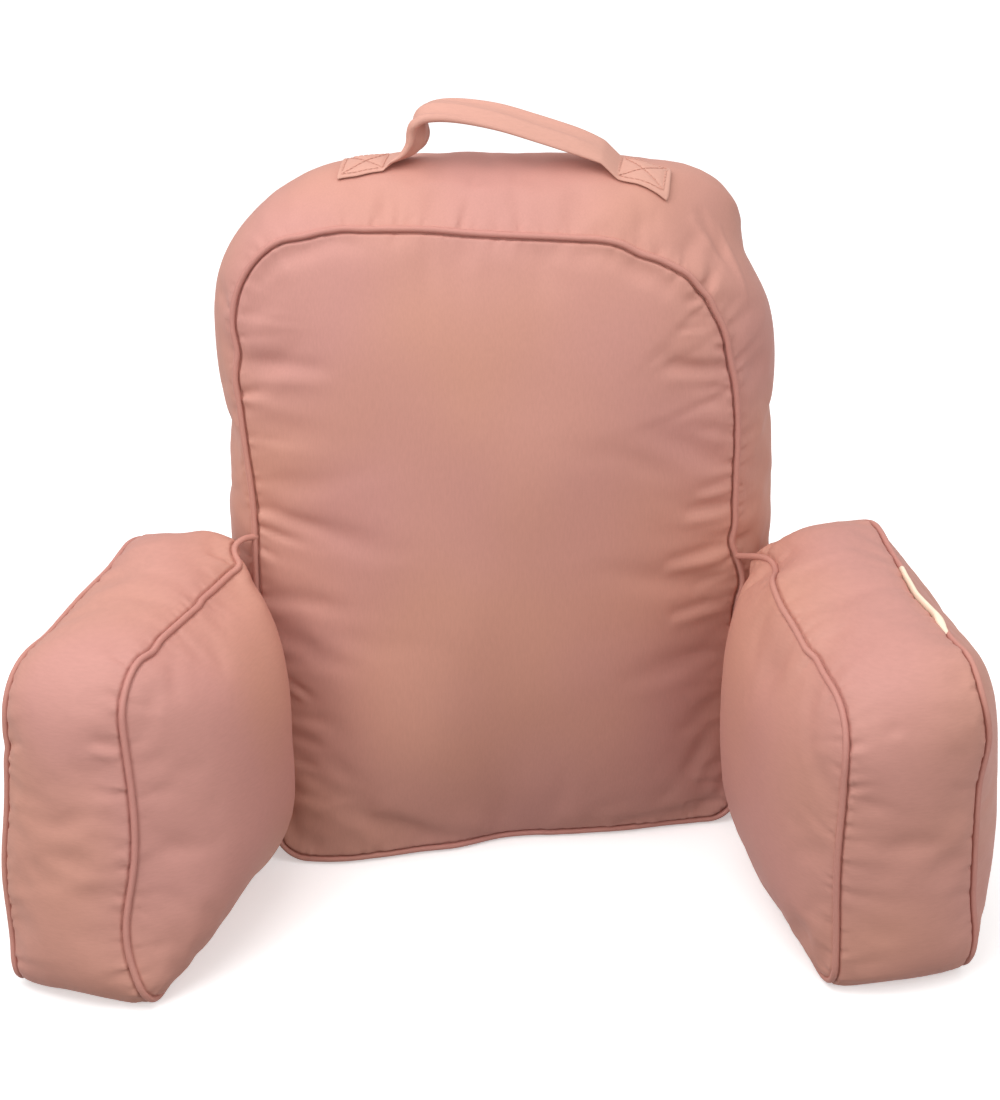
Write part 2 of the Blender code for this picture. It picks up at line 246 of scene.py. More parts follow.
# %% Where the seams wander
Wander = namedtuple("Wander", "x y z dx dy dz reach")
BACK_FRONT_WANDER = [
    Wander(-99, -31, 367, 0, 0, -3.2, 11),
    Wander(-86, -31, 369, 0, 0, -0.8, 6),
    Wander(-36, -31, 366, 0, 0, 1.2, 22),
    Wander(80, -31, 353, -0.9, 0, -1.9, 8),
    Wander(105, -30, 338, 1.3, 0, 1.6, 9),
    Wander(115, -30, 326, 1.4, 0, 0.6, 5),
    Wander(129, -28, 290, -1.9, 0, 0, 12),
    Wander(131, -27, 250, 1.4, 0, 0, 28),
    Wander(132, -25, 182, -2.2, 0, 0, 6),
    Wander(132, -23, 158, 4.5, 0, 0, 12),
    Wander(-140, -35, 303, 1.7, 0, 0, 6),
    Wander(-139, -36, 285, -1.0, 0, 0, 9),
    Wander(-137, -41, 214, 2.8, 0, 0, 38),
    Wander(-28, -43, 3, 0, -3.5, 0, 18),
    Wander(98, -25, 3, 0, 2.8, 0, 30),
]
BACK_REAR_WANDER = [
    Wander(-125, 57, 372, 2.2, 0, -2.3, 34),
    Wander(118, 57, 377, 3.0, 0, 2.4, 22),
    Wander(136, 57, 362, 3.4, 0, 1.2, 17),
    Wander(139, 57, 330, -3.2, 0, 0, 24),
    Wander(142, 57, 262, 1.6, 0, 0, 40),
    Wander(-138, 59, 205, -2.0, 0, 0, 20),
]
LEFT_INNER_WANDER = [
    Wander(-160, -135, 3, -8, 0, 3.6, 42),
    Wander(-183, -211, 42, -10.5, 0, 0, 36),
    Wander(-188, -188, 158, -1.6, 0, 0, 28),
    Wander(-178, -158, 183, 1.6, 0, -1.4, 8),
]
LEFT_OUTER_WANDER = [
    Wander(-238, -130, 181, 2.0, 0, -1.9, 26),
    Wander(-257, -179, 66, -3.6, 0, 0, 32),
    Wander(-256, -180, 5, 0, -6, 0, 14),
    Wander(-254, -171, 135, 1.2, 0, 0, 4),
]
RIGHT_INNER_WANDER = [
    Wander(158, -125, 3, -4, 0, 0, 32),
    Wander(170, -168, 171, -2.0, 0, -1.0, 26),
    Wander(176, -207, 84, -3.4, 0, 0, 52),
    Wander(178, -206, 136, -1.5, 0, 0, 18),
    Wander(169, -180, 3, -2, 0, 0, 20),
]
RIGHT_OUTER_WANDER = [
    Wander(209, -33, 190, 1.3, 0, 1.6, 20),
    Wander(226, -112, 191, -4.2, 0, 0, 28),
    Wander(236, -155, 182, -1.5, 0, -1, 16),
    Wander(245, -192, 143, 4.3, 0, 0, 19),
    Wander(246, -190, 27, 2.2, 0, 0, 14),
]
print("wanders in the back's front seam:", len(BACK_FRONT_WANDER))

# %% [markdown]
# ## From corners to a line
# A rounded corner is two straight sides joined by an arc. Each arc blends from the side before the
# corner to the side after it, pulled towards the corner itself, and a Catmull-Rom curve joins
# places that are given one by one. The back's outlines are drawn flat and then set back to their
# depth.

# %% Outline helpers
def rounded_loop(corners):
    """A closed outline: at each corner an arc that starts its reach away, then a straight side."""
    loop = []
    for index, corner in enumerate(corners):
        following = corners[(index + 1) % len(corners)]
        place = Vector(corner[:3])
        before = Vector(corners[index - 1][:3])
        after = Vector(following[:3])
        start = place + (before - place).normalized() * corner.reach
        end = place + (after - place).normalized() * corner.reach
        next_start = after + (place - after).normalized() * following.reach
        steps = corner.arc * FINER
        for step in range(steps):
            t = step / steps
            pull = ROUNDNESS * 3 * t * (1 - t)
            chord = start.lerp(end, t * t * (3 - 2 * t))
            loop.append(chord + (place - start) * pull * (1 - t) + (place - end) * pull * t)
        steps = corner.side * FINER
        for step in range(steps):
            loop.append(end.lerp(next_start, step / steps))
    return loop


def smooth_path(rows, steps):
    """Rows blended along a Catmull-Rom curve, with the given steps between two rows."""
    result = []
    for index in range(len(rows) - 1):
        a = Vector(rows[max(index - 1, 0)])
        b = Vector(rows[index])
        c = Vector(rows[index + 1])
        d = Vector(rows[min(index + 2, len(rows) - 1)])
        for step in range(steps):
            t = step / steps
            bend = (2 * a - 5 * b + 4 * c - d) * t + (3 * b - a - 3 * c + d) * t * t
            result.append(b + (c - a + bend) * t / 2)
    result.append(Vector(rows[-1]))
    return result


def set_back(loop, base_at, at_top):
    """The outline with its depth, which goes from the base's line to one depth at the top."""
    placed = []
    for point in loop:
        height = min(point.z / BACK_HEIGHT, 1)
        placed.append(Vector((point.x, base_at(point.x) * (1 - height) + at_top * height, point.z)))
    return placed


base_path = smooth_path([(x, y, 0) for x, y in BASE_LINE], 4)


def base_line(x):
    """How far back the foot of the front panel lies at this place across."""
    for start, end in zip(base_path, base_path[1:]):
        if x <= end.x:
            return start.lerp(end, max((x - start.x) / (end.x - start.x), 0)).y
    return base_path[-1].y


print("steps along the front panel's foot:", len(base_path))

# %% [markdown]
# ## From a line to a cord's route
# A cord is drawn best through evenly spaced places, and the gathers count their millimetres along
# it. So each line is cut into equal steps and softened a little, after its wanders are added. The
# arms' lines are first cut where their cord ends, and the inner ones get their hooks.

# %% Route helpers
SPACING = 1.5
SOFT_ROUNDS = 3


def evened(route, spacing, closed=False):
    """A route's points at even spacing, in metres, softened a little so that no step shows."""
    points = np.array([tuple(point) for point in route]) * MM
    if closed:
        points = np.vstack([points, points[:1]])
    lengths = np.concatenate([[0], np.cumsum(np.linalg.norm(np.diff(points, axis=0), axis=1))])
    count = int(lengths[-1] / (spacing * MM))
    places = np.linspace(0, lengths[-1], count + 1)
    if closed:
        places = places[:-1]
    even = np.stack([np.interp(places, lengths, points[:, axis]) for axis in range(3)], 1)
    for _ in range(SOFT_ROUNDS):
        before = np.roll(even, 1, 0)
        after = np.roll(even, -1, 0)
        softer = (before + 2 * even + after) / 4
        if not closed:
            softer[0], softer[-1] = even[0], even[-1]
        even = softer
    return even


def wandering(route, rows):
    """The route with each row's small shift, which fades with the distance from its place."""
    places = np.array([tuple(point) for point in route])
    shift = np.zeros_like(places)
    for row in rows:
        away = np.linalg.norm(places - np.array(row[:3]), axis=1) / row.reach
        shift += np.exp(-(away**2))[:, None] * np.array(row[3:6])
    return [Vector(point) for point in places + shift]


def piped_part(corners, loop):
    """The part of an arm's outer seam that holds cord: all but the edge against the back."""
    bare = corners[5].arc + corners[5].side
    return loop[: len(loop) - bare * FINER]


def hooked(loop, hook):
    """An arm's inner seam from its foot up to the hook's first place, and then the hook."""
    start = Vector(hook[0])
    first = min(range(len(loop)), key=lambda index: (loop[index] - start).length)
    return loop[: first - 2] + smooth_path(hook, 4)


print("spacing of a route's places in mm:", SPACING)

# %% The routes of the seams
back_front = set_back(rounded_loop(BACK_FRONT), base_line, FRONT_AT_TOP)
back_rear = set_back(rounded_loop(BACK_REAR), lambda x: REAR_AT_BASE, REAR_AT_TOP)
loops = {
    "left_inner": rounded_loop(LEFT_INNER),
    "left_outer": rounded_loop(LEFT_OUTER),
    "right_inner": rounded_loop(RIGHT_INNER),
    "right_outer": rounded_loop(RIGHT_OUTER),
}
routes = {
    "left_inner": wandering(hooked(loops["left_inner"], LEFT_HOOK), LEFT_INNER_WANDER),
    "left_outer": wandering(piped_part(LEFT_OUTER, loops["left_outer"]), LEFT_OUTER_WANDER),
    "right_inner": wandering(hooked(loops["right_inner"], RIGHT_HOOK), RIGHT_INNER_WANDER),
    "right_outer": wandering(piped_part(RIGHT_OUTER, loops["right_outer"]), RIGHT_OUTER_WANDER),
}
cords = {name: evened(route, SPACING) for name, route in routes.items()}
cords["back_front"] = evened(wandering(back_front, BACK_FRONT_WANDER), SPACING, True)
cords["back_rear"] = evened(wandering(back_rear, BACK_REAR_WANDER), SPACING, True)
for name, route in cords.items():
    print(f"{name}: {len(route) * SPACING:.0f} mm of cord")

# %% [markdown]
# ## An even skin
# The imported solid's faces are long loose triangles, which cloth can't bend. A copy of it is
# merged, and a voxel remesh gives it an even skin of small squares. Smoothing then goes one step
# towards each point's neighbours and one step back, which takes off the stairs of the voxels but
# not the volume.

# %% Skin helpers
VOXEL = 4.0
FAR = 1e3


def even_skin(node_name, name):
    """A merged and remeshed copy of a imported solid."""
    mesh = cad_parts[node_name].data.copy()
    merged = bmesh.new()
    merged.from_mesh(mesh)
    bmesh.ops.remove_doubles(merged, verts=merged.verts, dist=1e-5)
    merged.to_mesh(mesh)
    merged.free()
    mesh.materials.clear()
    skin = linked(name, mesh)
    remesh = skin.modifiers.new("skin", "REMESH")
    remesh.mode = "VOXEL"
    remesh.voxel_size = VOXEL * MM
    return applied(skin)


def edges_of(mesh):
    """The two vertices of each edge as an array."""
    flat = np.empty(len(mesh.edges) * 2, dtype=np.int64)
    mesh.edges.foreach_get("vertices", flat)
    return flat.reshape(-1, 2)


def softened(points, edges, hold, rounds, steps=(0.5, -0.52)):
    """Points evened out: each round takes these steps towards the middle of the neighbours."""
    count = np.bincount(edges.ravel(), minlength=len(points))[:, None]
    for step in steps * rounds:
        total = np.zeros_like(points)
        for axis in range(3):
            total[:, axis] = np.bincount(edges[:, 0], points[edges[:, 1], axis], len(points))
            total[:, axis] += np.bincount(edges[:, 1], points[edges[:, 0], axis], len(points))
        points = points + (total / count - points) * step * (1 - hold)[:, None]
    return points


def tree_of(mesh):
    """A search tree of a mesh's faces."""
    solid = bmesh.new()
    solid.from_mesh(mesh)
    tree = BVHTree.FromBMesh(solid)
    solid.free()
    return tree


def nearest_on(points, route):
    """For each point the nearest place of a route: its index and how far it is, in millimetres."""
    tree = KDTree(len(route))
    for index, place in enumerate(route):
        tree.insert(place, index)
    tree.balance()
    found = [tree.find(point)[1:] for point in points]
    index = np.array([item[0] for item in found])
    distance = np.array([item[1] for item in found]) / MM
    return index, distance


def distance_to(points, routes):
    """How far each point is from the nearest of the routes, in millimetres."""
    nearest = np.full(len(points), FAR)
    for route in routes:
        nearest = np.minimum(nearest, nearest_on(points, route)[1])
    return nearest


print("voxel of the skins in mm:", VOXEL)

# %% [markdown]
# ## Puffing the cloth
# A cushion is a flat cover that its filling blows out, so a cloth simulation with a little
# pressure gives it an honest belly. The seams are pinned, because thread holds them, and the cloth
# is a little too big for them, which makes it ripple beside the thread. No point may move past the
# cap.

# %% Cloth simulation
SIM_FRAMES = 16


def puffed(skin, hold, cap):
    """The skin after a short cloth simulation under pressure, with no point moved past the cap."""
    start = points_of(skin.data)
    group = skin.vertex_groups.new(name="sewn")
    for index, weight in enumerate(hold):
        if weight > 0.01:
            group.add([index], float(weight), "REPLACE")
    cloth = skin.modifiers.new("cloth", "CLOTH")
    settings = cloth.settings
    settings.quality = 5
    settings.mass = 0.2
    settings.tension_stiffness = 20
    settings.compression_stiffness = 20
    settings.shear_stiffness = 8
    settings.bending_stiffness = 0.6
    settings.tension_damping = 8
    settings.compression_damping = 8
    settings.use_pressure = True
    settings.uniform_pressure_force = 4
    settings.shrink_min = -0.015
    settings.vertex_group_mass = "sewn"
    settings.effector_weights.gravity = 0
    cloth.point_cache.frame_end = SIM_FRAMES
    for number in range(1, SIM_FRAMES + 1):
        scene.frame_set(number)
    shape = skin.evaluated_get(bpy.context.evaluated_depsgraph_get())
    end = points_of(shape.data).copy()
    skin.modifiers.clear()
    skin.vertex_groups.clear()
    scene.frame_set(1)
    moved = end - start
    length = np.linalg.norm(moved, axis=1)
    print(f"{skin.name}: moved by up to {length.max() / MM:.1f} mm, before the cap")
    limit = cap * MM
    factor = limit * np.tanh(length / limit) / np.maximum(length, 1e-9)
    return start + moved * factor[:, None]


print("frames of the simulation:", SIM_FRAMES)

# %% [markdown]
# ## Creases
# The big creases are few, and each sits where the photograph shows it. A crease is a soft trough
# with a low ridge beside it, pressed along the surface's own normals, and each is one row of a
# table: where it starts and ends, and its width, depth and share of ridge, in millimetres.

# %% Crease helper
Crease = namedtuple("Crease", "x0 y0 z0 x1 y1 z1 width depth ridge")
CREASE_WIDTH = 0.88
CREASE_DEPTH = 0.78


def creased(points, normals, tree, creases):
    """Points pressed in along each crease, with a low ridge on its lower side."""
    push = np.zeros(len(points))
    for crease in creases:
        found = [tree.find_nearest(Vector(spot) * MM) for spot in (crease[0:3], crease[3:6])]
        start, end = (np.array(item[0]) for item in found)
        facing = np.array(found[0][1] + found[1][1])
        line = end - start
        length = np.linalg.norm(line)
        width = CREASE_WIDTH * crease.width * MM
        along = np.clip(((points - start) @ line) / length**2, 0, 1)
        offset = points - (start + along[:, None] * line)
        near = (np.linalg.norm(offset, axis=1) < 5 * width) & (normals @ facing > 0.5)
        up = normals[near]
        offset = offset[near] - up * np.einsum("ij,ij->i", offset[near], up)[:, None]
        side = np.cross(up, line / length)
        side *= -np.sign(side[:, 2:3] + 1e-9)
        across = np.einsum("ij,ij->i", offset, side) / width
        beyond = np.linalg.norm(offset, axis=1) / width
        fade = np.sin(math.pi * np.clip(0.18 + along[near] * 0.8, 0, 1)) ** 0.6
        trough = np.exp(-(beyond**2))
        ridge = crease.ridge * np.exp(-((across - 1.7) ** 2) - np.maximum(beyond**2 - across**2, 0))
        push[near] += CREASE_DEPTH * crease.depth * fade * (ridge - trough)
    return points + normals * (push * MM)[:, None]


print("a crease has", len(Crease._fields), "values")

# %% [markdown]
# ## Ditches and gathers beside a seam
# Where two panels meet, the cloth dives in beside the cord, and because a curved seam is always
# eased in, small gathers run away from it at uneven distances. Both are worked out from how far a
# point is from the seam and on which side of it: the panel's or the band's.

# %% Seam helpers
Tucks = namedtuple("Tucks", "side spacing short long deep low high")
Seam = namedtuple("Seam", "route panel_ditch band_ditch tucks seed")
DITCH_AT, DITCH_WIDTH = 1.9, 0.9
DIP, DIP_WIDTH = 0.6, 1.3


def seam_sides(points, route, middle):
    """Each point's place along a seam and its distance, below 0 on the band's side."""
    index, distance = nearest_on(points, route)
    tangents = np.gradient(route, axis=0)
    tangents /= np.linalg.norm(tangents, axis=1)[:, None]
    centre = route.mean(axis=0)
    facing = np.linalg.svd(route - centre)[2][2]
    facing = facing * np.sign((centre - middle) @ facing)
    inward = np.cross(facing, tangents)
    inward = inward * np.sign(np.einsum("ij,ij->", inward, centre - route))
    offset = points - route[index]
    which = np.einsum("ij,ij->i", offset, inward[index]) + offset @ facing
    return index, np.where(which > 0, distance, -distance)


def tucked(place, side, tucks, heights, seed):
    """How far each point rises or sinks through the small folds that start at a seam."""
    chance = random.Random(seed)
    push = np.zeros(len(place))
    away = side * tucks.side
    spot = chance.uniform(0, tucks.spacing)
    while spot < len(heights) * SPACING - 1:
        long = chance.uniform(tucks.short, tucks.long)
        wide = chance.uniform(0.8, 1.6) * (1 + long * 0.028)
        deep = chance.uniform(0.3, 1) * tucks.deep
        slant = chance.uniform(-0.3, 0.3)
        if tucks.low < heights[int(spot / SPACING)] < tucks.high:
            near = (away > -0.5) & (away < long * 1.8)
            near &= np.abs(place - spot) < wide * 5 + long * 0.7
            far = np.maximum(away[near], 0)
            across = (place[near] - spot - slant * far) / (wide * (1 + far / long * 0.8))
            fade = (1 - np.exp(-far / 1.6)) * np.exp(-((far / long) ** 2))
            fold = 0.55 * np.exp(-((across - 1.8) ** 2)) - np.exp(-(across**2))
            push[near] += deep * fade * fold
        spot += chance.uniform(0.35, 1.75) * tucks.spacing
    return push


def sewn(points, normals, seams):
    """Points drawn in beside each seam, with small folds that run away from it."""
    middle = points.mean(axis=0)
    for number, seam in enumerate(seams):
        index, side = seam_sides(points, seam.route, middle)
        place = index * SPACING
        push = -seam.panel_ditch * np.exp(-(((side - DITCH_AT) / DITCH_WIDTH) ** 2))
        push -= seam.band_ditch * np.exp(-(((side + DITCH_AT) / DITCH_WIDTH) ** 2))
        push -= DIP * np.exp(-((side / DIP_WIDTH) ** 2))
        for row, tucks in enumerate(seam.tucks):
            push += tucked(place, side, tucks, seam.route[:, 2] / MM, seam.seed + row * 7)
        points = points + normals * (push * MM)[:, None]
    return points


print("the ditches lie beside a seam at, in mm:", DITCH_AT)

# %% [markdown]
# ## Cloth that reaches its cord
# A remeshed skin has lost its sharp edges, so it lies a little inside the cords. It is drawn out
# to each cord, widely first and then closely, except at the free end of a hook. The faces near the
# seams are cut finer, because that is where the cloth bends most.

# %% Helpers at the cord
MEET_MOST = 13
MEET_REACHES = (18, 9)
HOOK_END = 14
FINE_REACH = 7.5


def met(points, tree, route, reach, closed):
    """Points drawn towards the cord, so that the cloth reaches it all along the seam."""
    pull = route - np.array([tree.find_nearest(Vector(place))[0] for place in route])
    size = np.linalg.norm(pull, axis=1) / MM
    pull *= np.clip((MEET_MOST - size) / 2, 0, 1)[:, None]
    if not closed:
        pull[-HOOK_END:] *= np.linspace(1, 0, HOOK_END)[:, None]
    for _ in range(4):
        pull = (np.roll(pull, 1, 0) + 2 * pull + np.roll(pull, -1, 0)) / 4
    index, distance = nearest_on(points, route)
    return points + pull[index] * np.exp(-((distance / reach) ** 2))[:, None]


def refined(mesh, routes):
    """The mesh with its faces cut finer near the seams, where the cloth bends most."""
    finer = bmesh.new()
    finer.from_mesh(mesh)
    close = distance_to(points_of(mesh), routes) < FINE_REACH
    edges = [edge for edge in finer.edges if all(close[vertex.index] for vertex in edge.verts)]
    bmesh.ops.subdivide_edges(finer, edges=edges, cuts=1, use_grid_fill=True)
    finer.to_mesh(mesh)
    finer.free()


print("faces are cut finer near the seams, within mm:", FINE_REACH)

# %% [markdown]
# ## Uneven filling
# Fibre filling gathers in some places and goes thin in others. A slow noise gives the whole
# cushion soft lumps, a few rows swell or sink single places as the photograph shows them, and what
# rests on the floor is pressed flat.

# %% Filling helpers
Lumps = namedtuple("Lumps", "height size seed")
REST_REACH = 5.0


def swelled(points, rows):
    """Points pushed by each row's shift, where the filling has gathered or gone thin."""
    places = points / MM
    for row in rows:
        away = np.linalg.norm(places - np.array(row[:3]), axis=1) / row.reach
        points = points + np.exp(-(away**2))[:, None] * np.array(row[3:6]) * MM
    return points


def lumped(points, normals, lumps):
    """Points moved by the soft unevenness of the filling."""
    place = Vector((lumps.seed, lumps.seed * 0.7, -lumps.seed))
    rise = [noise.noise(Vector(point) / (lumps.size * MM) + place) for point in points]
    return points + normals * (np.array(rise) * lumps.height * MM)[:, None]


def flattened(points):
    """Points kept above the floor, and pressed flat where they rest on it."""
    height = points[:, 2] / MM
    low = height < REST_REACH
    points[low, 2] = np.maximum(height[low], 0) ** 1.5 / REST_REACH**0.5 * MM
    return points


print("cloth rests flat below, in mm:", REST_REACH)

# %% [markdown]
# ## One cushion from start to end
# The order matters. The skin is smoothed well away from the seams, puffed, and smoothed lightly,
# and only then are its faces cut finer, because the simulation would be slow on fine ones. Lumps
# and swells come before the seams, so that the cloth still meets its cords, and creases and
# gathers last.

# %% Cushion helpers
CAP = 4
HELD_REACH = 5
CALM_REACH = 24
FOOT = 3


def blown_cover(node_name, routes):
    """A cushion's cover: an even skin, smoothed, puffed and given finer faces."""
    skin = even_skin(node_name, f"{node_name.replace('_cushion', '')}_cover")
    points = points_of(skin.data)
    edges = edges_of(skin.data)
    nearest = distance_to(points, routes)
    hold = np.exp(-((nearest / HELD_REACH) ** 2))
    hold = np.maximum(hold, (points[:, 2] < FOOT * MM) * 0.9)
    points = softened(points, edges, hold * 0.75, 12)
    points = softened(points, edges, np.exp(-((nearest / CALM_REACH) ** 2)), 50, (0.5,))
    put_points(skin.data, points)
    points = puffed(skin, np.clip(hold * 1.3, 0, 1), CAP)
    put_points(skin.data, softened(points, edges, hold * 0.9, 7))
    return subdivided(skin)


def cushion(node_name, seams, bare_seams, creases, swells, lumps, closed):
    """One filled cushion: its blown cover, with its lumps, seams, creases and gathers."""
    routes = [seam.route for seam in seams]
    skin = blown_cover(node_name, routes + bare_seams)
    refined(skin.data, routes)
    points = lumped(points_of(skin.data), normals_of(skin.data), lumps)
    points = swelled(points, swells)
    put_points(skin.data, points)
    for route in routes:
        for reach in MEET_REACHES:
            points = met(points, tree_of(skin.data), route, reach, closed)
            put_points(skin.data, points)
    points = creased(points, normals_of(skin.data), tree_of(skin.data), creases)
    put_points(skin.data, points)
    points = sewn(points, normals_of(skin.data), seams)
    put_points(skin.data, flattened(points))
    skin.data.shade_smooth()
    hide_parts(node_name)
    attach(skin, "root")
    print(f"{skin.name}: {len(skin.data.polygons)} faces")
    return skin


print("the cloth may move by, in mm:", CAP)

# %% [markdown]
# ## The back cushion's creases
# The back cushion is the biggest. Its front panel is drawn in at both sides, with the deepest
# creases near the upper right corner and beside the arms, which drag at it.

# %% Creases of the back
BACK_CREASES = [
    Crease(-136, -37, 298, -88, -48, 297, 5.5, 1.7, 0.8),
    Crease(-137, -35, 279, -121, -42, 282, 3, 0.8, 0.6),
    Crease(-134, -36, 325, -108, -40, 329, 4, 0.5, 0.5),
    Crease(-132, -43, 215, -93, -54, 207, 4.5, 1.5, 0.8),
    Crease(-131, -44, 203, -106, -52, 196, 2.2, 0.9, 0.3),
    Crease(-131, -45, 191, -122, -48, 187, 2.5, 1.0, 0.4),
    Crease(-118, -54, 114, -105, -58, 106, 2.8, 1.5, 0.8),
    Crease(-116, -56, 94, -98, -60, 91, 4, 0.9, 0.6),
    Crease(-116, -56, 81, -100, -61, 77, 3.5, 0.8, 0.6),
    Crease(-117, -57, 67, -104, -61, 64, 3, 1.0, 0.6),
    Crease(-119, -58, 47, -99, -63, 42, 4, 0.8, 0.6),
    Crease(-121, -58, 33, -105, -62, 31, 4, 0.5, 0.5),
    Crease(100, -37, 311, 115, -32, 311, 1.8, 1.0, 0.4),
    Crease(105, -33, 326, 115, -27, 325, 3, 1.4, 0.4),
    Crease(96, -40, 292, 127, -30, 285, 4.5, 1.9, 0.7),
    Crease(120, -32, 299, 127, -27, 295, 2.5, 1.2, 0.4),
    Crease(118, -33, 277, 128, -29, 274, 2.5, 1.0, 0.5),
    Crease(106, -38, 269, 130, -25, 265, 3.5, 0.6, 0.5),
    Crease(111, -36, 253, 131, -24, 247, 3, 0.6, 0.5),
    Crease(111, -35, 219, 127, -28, 219, 3.5, 1.1, 0.9),
    Crease(105, -37, 206, 129, -26, 206, 4, 1.2, 0.9),
    Crease(95, -40, 179, 129, -26, 181, 4.5, 1.9, 0.9),
    Crease(112, -33, 161, 134, -21, 164, 3, 0.9, 0.5),
    Crease(97, -38, 146, 135, -19, 151, 4, 1.5, 0.8),
    Crease(72, -45, 109, 125, -25, 111, 6, 0.6, 0.5),
    Crease(107, -27, 17, 134, -15, 15, 2.5, 1.0, 0.3),
    Crease(112, -28, 330, 119, -18, 341, 4, 2.2, 0.3),
    Crease(107, -4, 361, 127, -11, 337, 2.5, -0.9, 0),
    Crease(122, 7, 354, 138, -15, 317, 2.5, -1.0, 0),
    Crease(117, 22, 374, 138, 39, 346, 2.5, -0.7, 0),
    Crease(113, 2, 364, 131, -12, 333, 4, 0.9, 0.3),
    Crease(-56, -21, 378, -57, -27, 371, 3, 1.0, 0.3),
]
print("creases of the back:", len(BACK_CREASES))

# %% [markdown]
# ## The arms' creases
# The arms are smaller and fuller, so their cloth is taut. They have only short creases, by the
# corners of their seams and where they join the back.

# %% Creases of the arms
LEFT_CREASES = [
    Crease(-202, -195, 149, -190, -192, 144, 3.5, 1.6, 1.0),
    Crease(-155, -65, 198, -144, -63, 190, 3, 1.4, 0.6),
    Crease(-208, -63, 192, -177, -63, 202, 5, -0.8, 0),
    Crease(-255, -168, 134, -244, -183, 143, 2.5, 1.5, 0.4),
    Crease(-194, -170, 185, -186, -171, 179, 2.5, 1.2, 0.4),
    Crease(-195, -205, 92, -191, -204, 91, 2.5, 0.8, 0.4),
    Crease(-197, -209, 67, -192, -209, 65, 2.5, 0.7, 0.4),
]
RIGHT_CREASES = [
    Crease(178, -203, 145, 186, -206, 149, 3, 1.2, 0.6),
    Crease(197, -207, 154, 202, -206, 158, 4, 1.0, 0.5),
    Crease(177, -205, 123, 185, -210, 126, 2.5, 1.0, 0.5),
    Crease(170, -170, 168, 177, -173, 174, 2.5, 1.0, 0.4),
    Crease(162, -84, 192, 197, -75, 195, 4, -0.8, 0),
    Crease(151, -50, 193, 159, -71, 194, 5, 1.2, 0.2),
    Crease(233, -196, 169, 242, -195, 142, 4, -0.7, 0),
]
print("creases of the arms:", len(LEFT_CREASES) + len(RIGHT_CREASES))

# %% [markdown]
# ## Where the filling has moved
# Handling pushes the filling about, so no corner matches its neighbour. These rows shift the cloth
# between the seams in the same way as the wanders shift the seams.

# %% Swells of the filling
BACK_SWELLS = [
    Wander(-122, 30, 376, 2.0, 0, -2.1, 34),
    Wander(-70, 30, 394, 0, 0, -1.6, 34),
    Wander(118, 35, 380, 3.0, 0, 2.4, 22),
    Wander(136, 35, 364, 3.6, 0, 1.4, 18),
    Wander(139, 35, 330, -3.2, 0, 0, 24),
    Wander(142, 35, 262, 1.6, 0, 0, 40),
    Wander(-139, 35, 205, -2.4, 0, 0, 18),
]
LEFT_SWELLS = [
    Wander(-190, -62, 199, 0, 0, 4.0, 26),
    Wander(-158, -42, 196, 0, 3, 3, 14),
    Wander(-160, -135, 3, -8, 0, 2.6, 42),
    Wander(-255, -186, 3, 0, 0, 2, 12),
    Wander(-215, -206, 3, 0, 1.4, 0, 30),
    Wander(-259, -165, 95, -2, 0, 0, 35),
]
RIGHT_SWELLS = [
    Wander(250, -185, 164, -8.5, 0, -3.5, 24),
    Wander(254, -165, 72, 1.6, 0, 0, 48),
    Wander(158, -125, 3, -4, 0, 0, 32),
    Wander(222, -115, 196, 0, 0, 1.8, 22),
]
print("swells:", len(BACK_SWELLS) + len(LEFT_SWELLS) + len(RIGHT_SWELLS))

# %% [markdown]
# ## Sewing the back cushion
# Its front seam is the one that shows. The panel dives in deeply beside the cord, which gives the
# dark line of the photograph, and both short and long gathers run into the panel.

# %% The back cushion
PANEL, BAND = 1, -1
BACK_TOP = 400
front_tucks = [
    Tucks(PANEL, 12, 5, 16, 0.7, 0, BACK_TOP),
    Tucks(PANEL, 15, 16, 48, 0.65, 20, 335),
    Tucks(BAND, 11, 5, 18, 0.8, 0, BACK_TOP),
    Tucks(BAND, 30, 20, 40, 0.8, 60, BACK_TOP),
]
rear_tucks = [
    Tucks(PANEL, 13, 8, 26, 0.7, 0, BACK_TOP),
    Tucks(BAND, 12, 6, 22, 0.7, 0, BACK_TOP),
]
back_seams = [
    Seam(cords["back_front"], panel_ditch=2.5, band_ditch=0, tucks=front_tucks, seed=11),
    Seam(cords["back_rear"], panel_ditch=1.6, band_ditch=1.2, tucks=rear_tucks, seed=12),
]
back_lumps = Lumps(height=1.1, size=55, seed=3.1)
back = cushion("back_cushion", back_seams, [], BACK_CREASES, BACK_SWELLS, back_lumps, True)

# %% [markdown]
# ## Sewing the arms
# The arms are boxed in the same way as the back, with fewer gathers. The whole outline of each
# panel holds the cloth during the simulation, also where no cord runs.

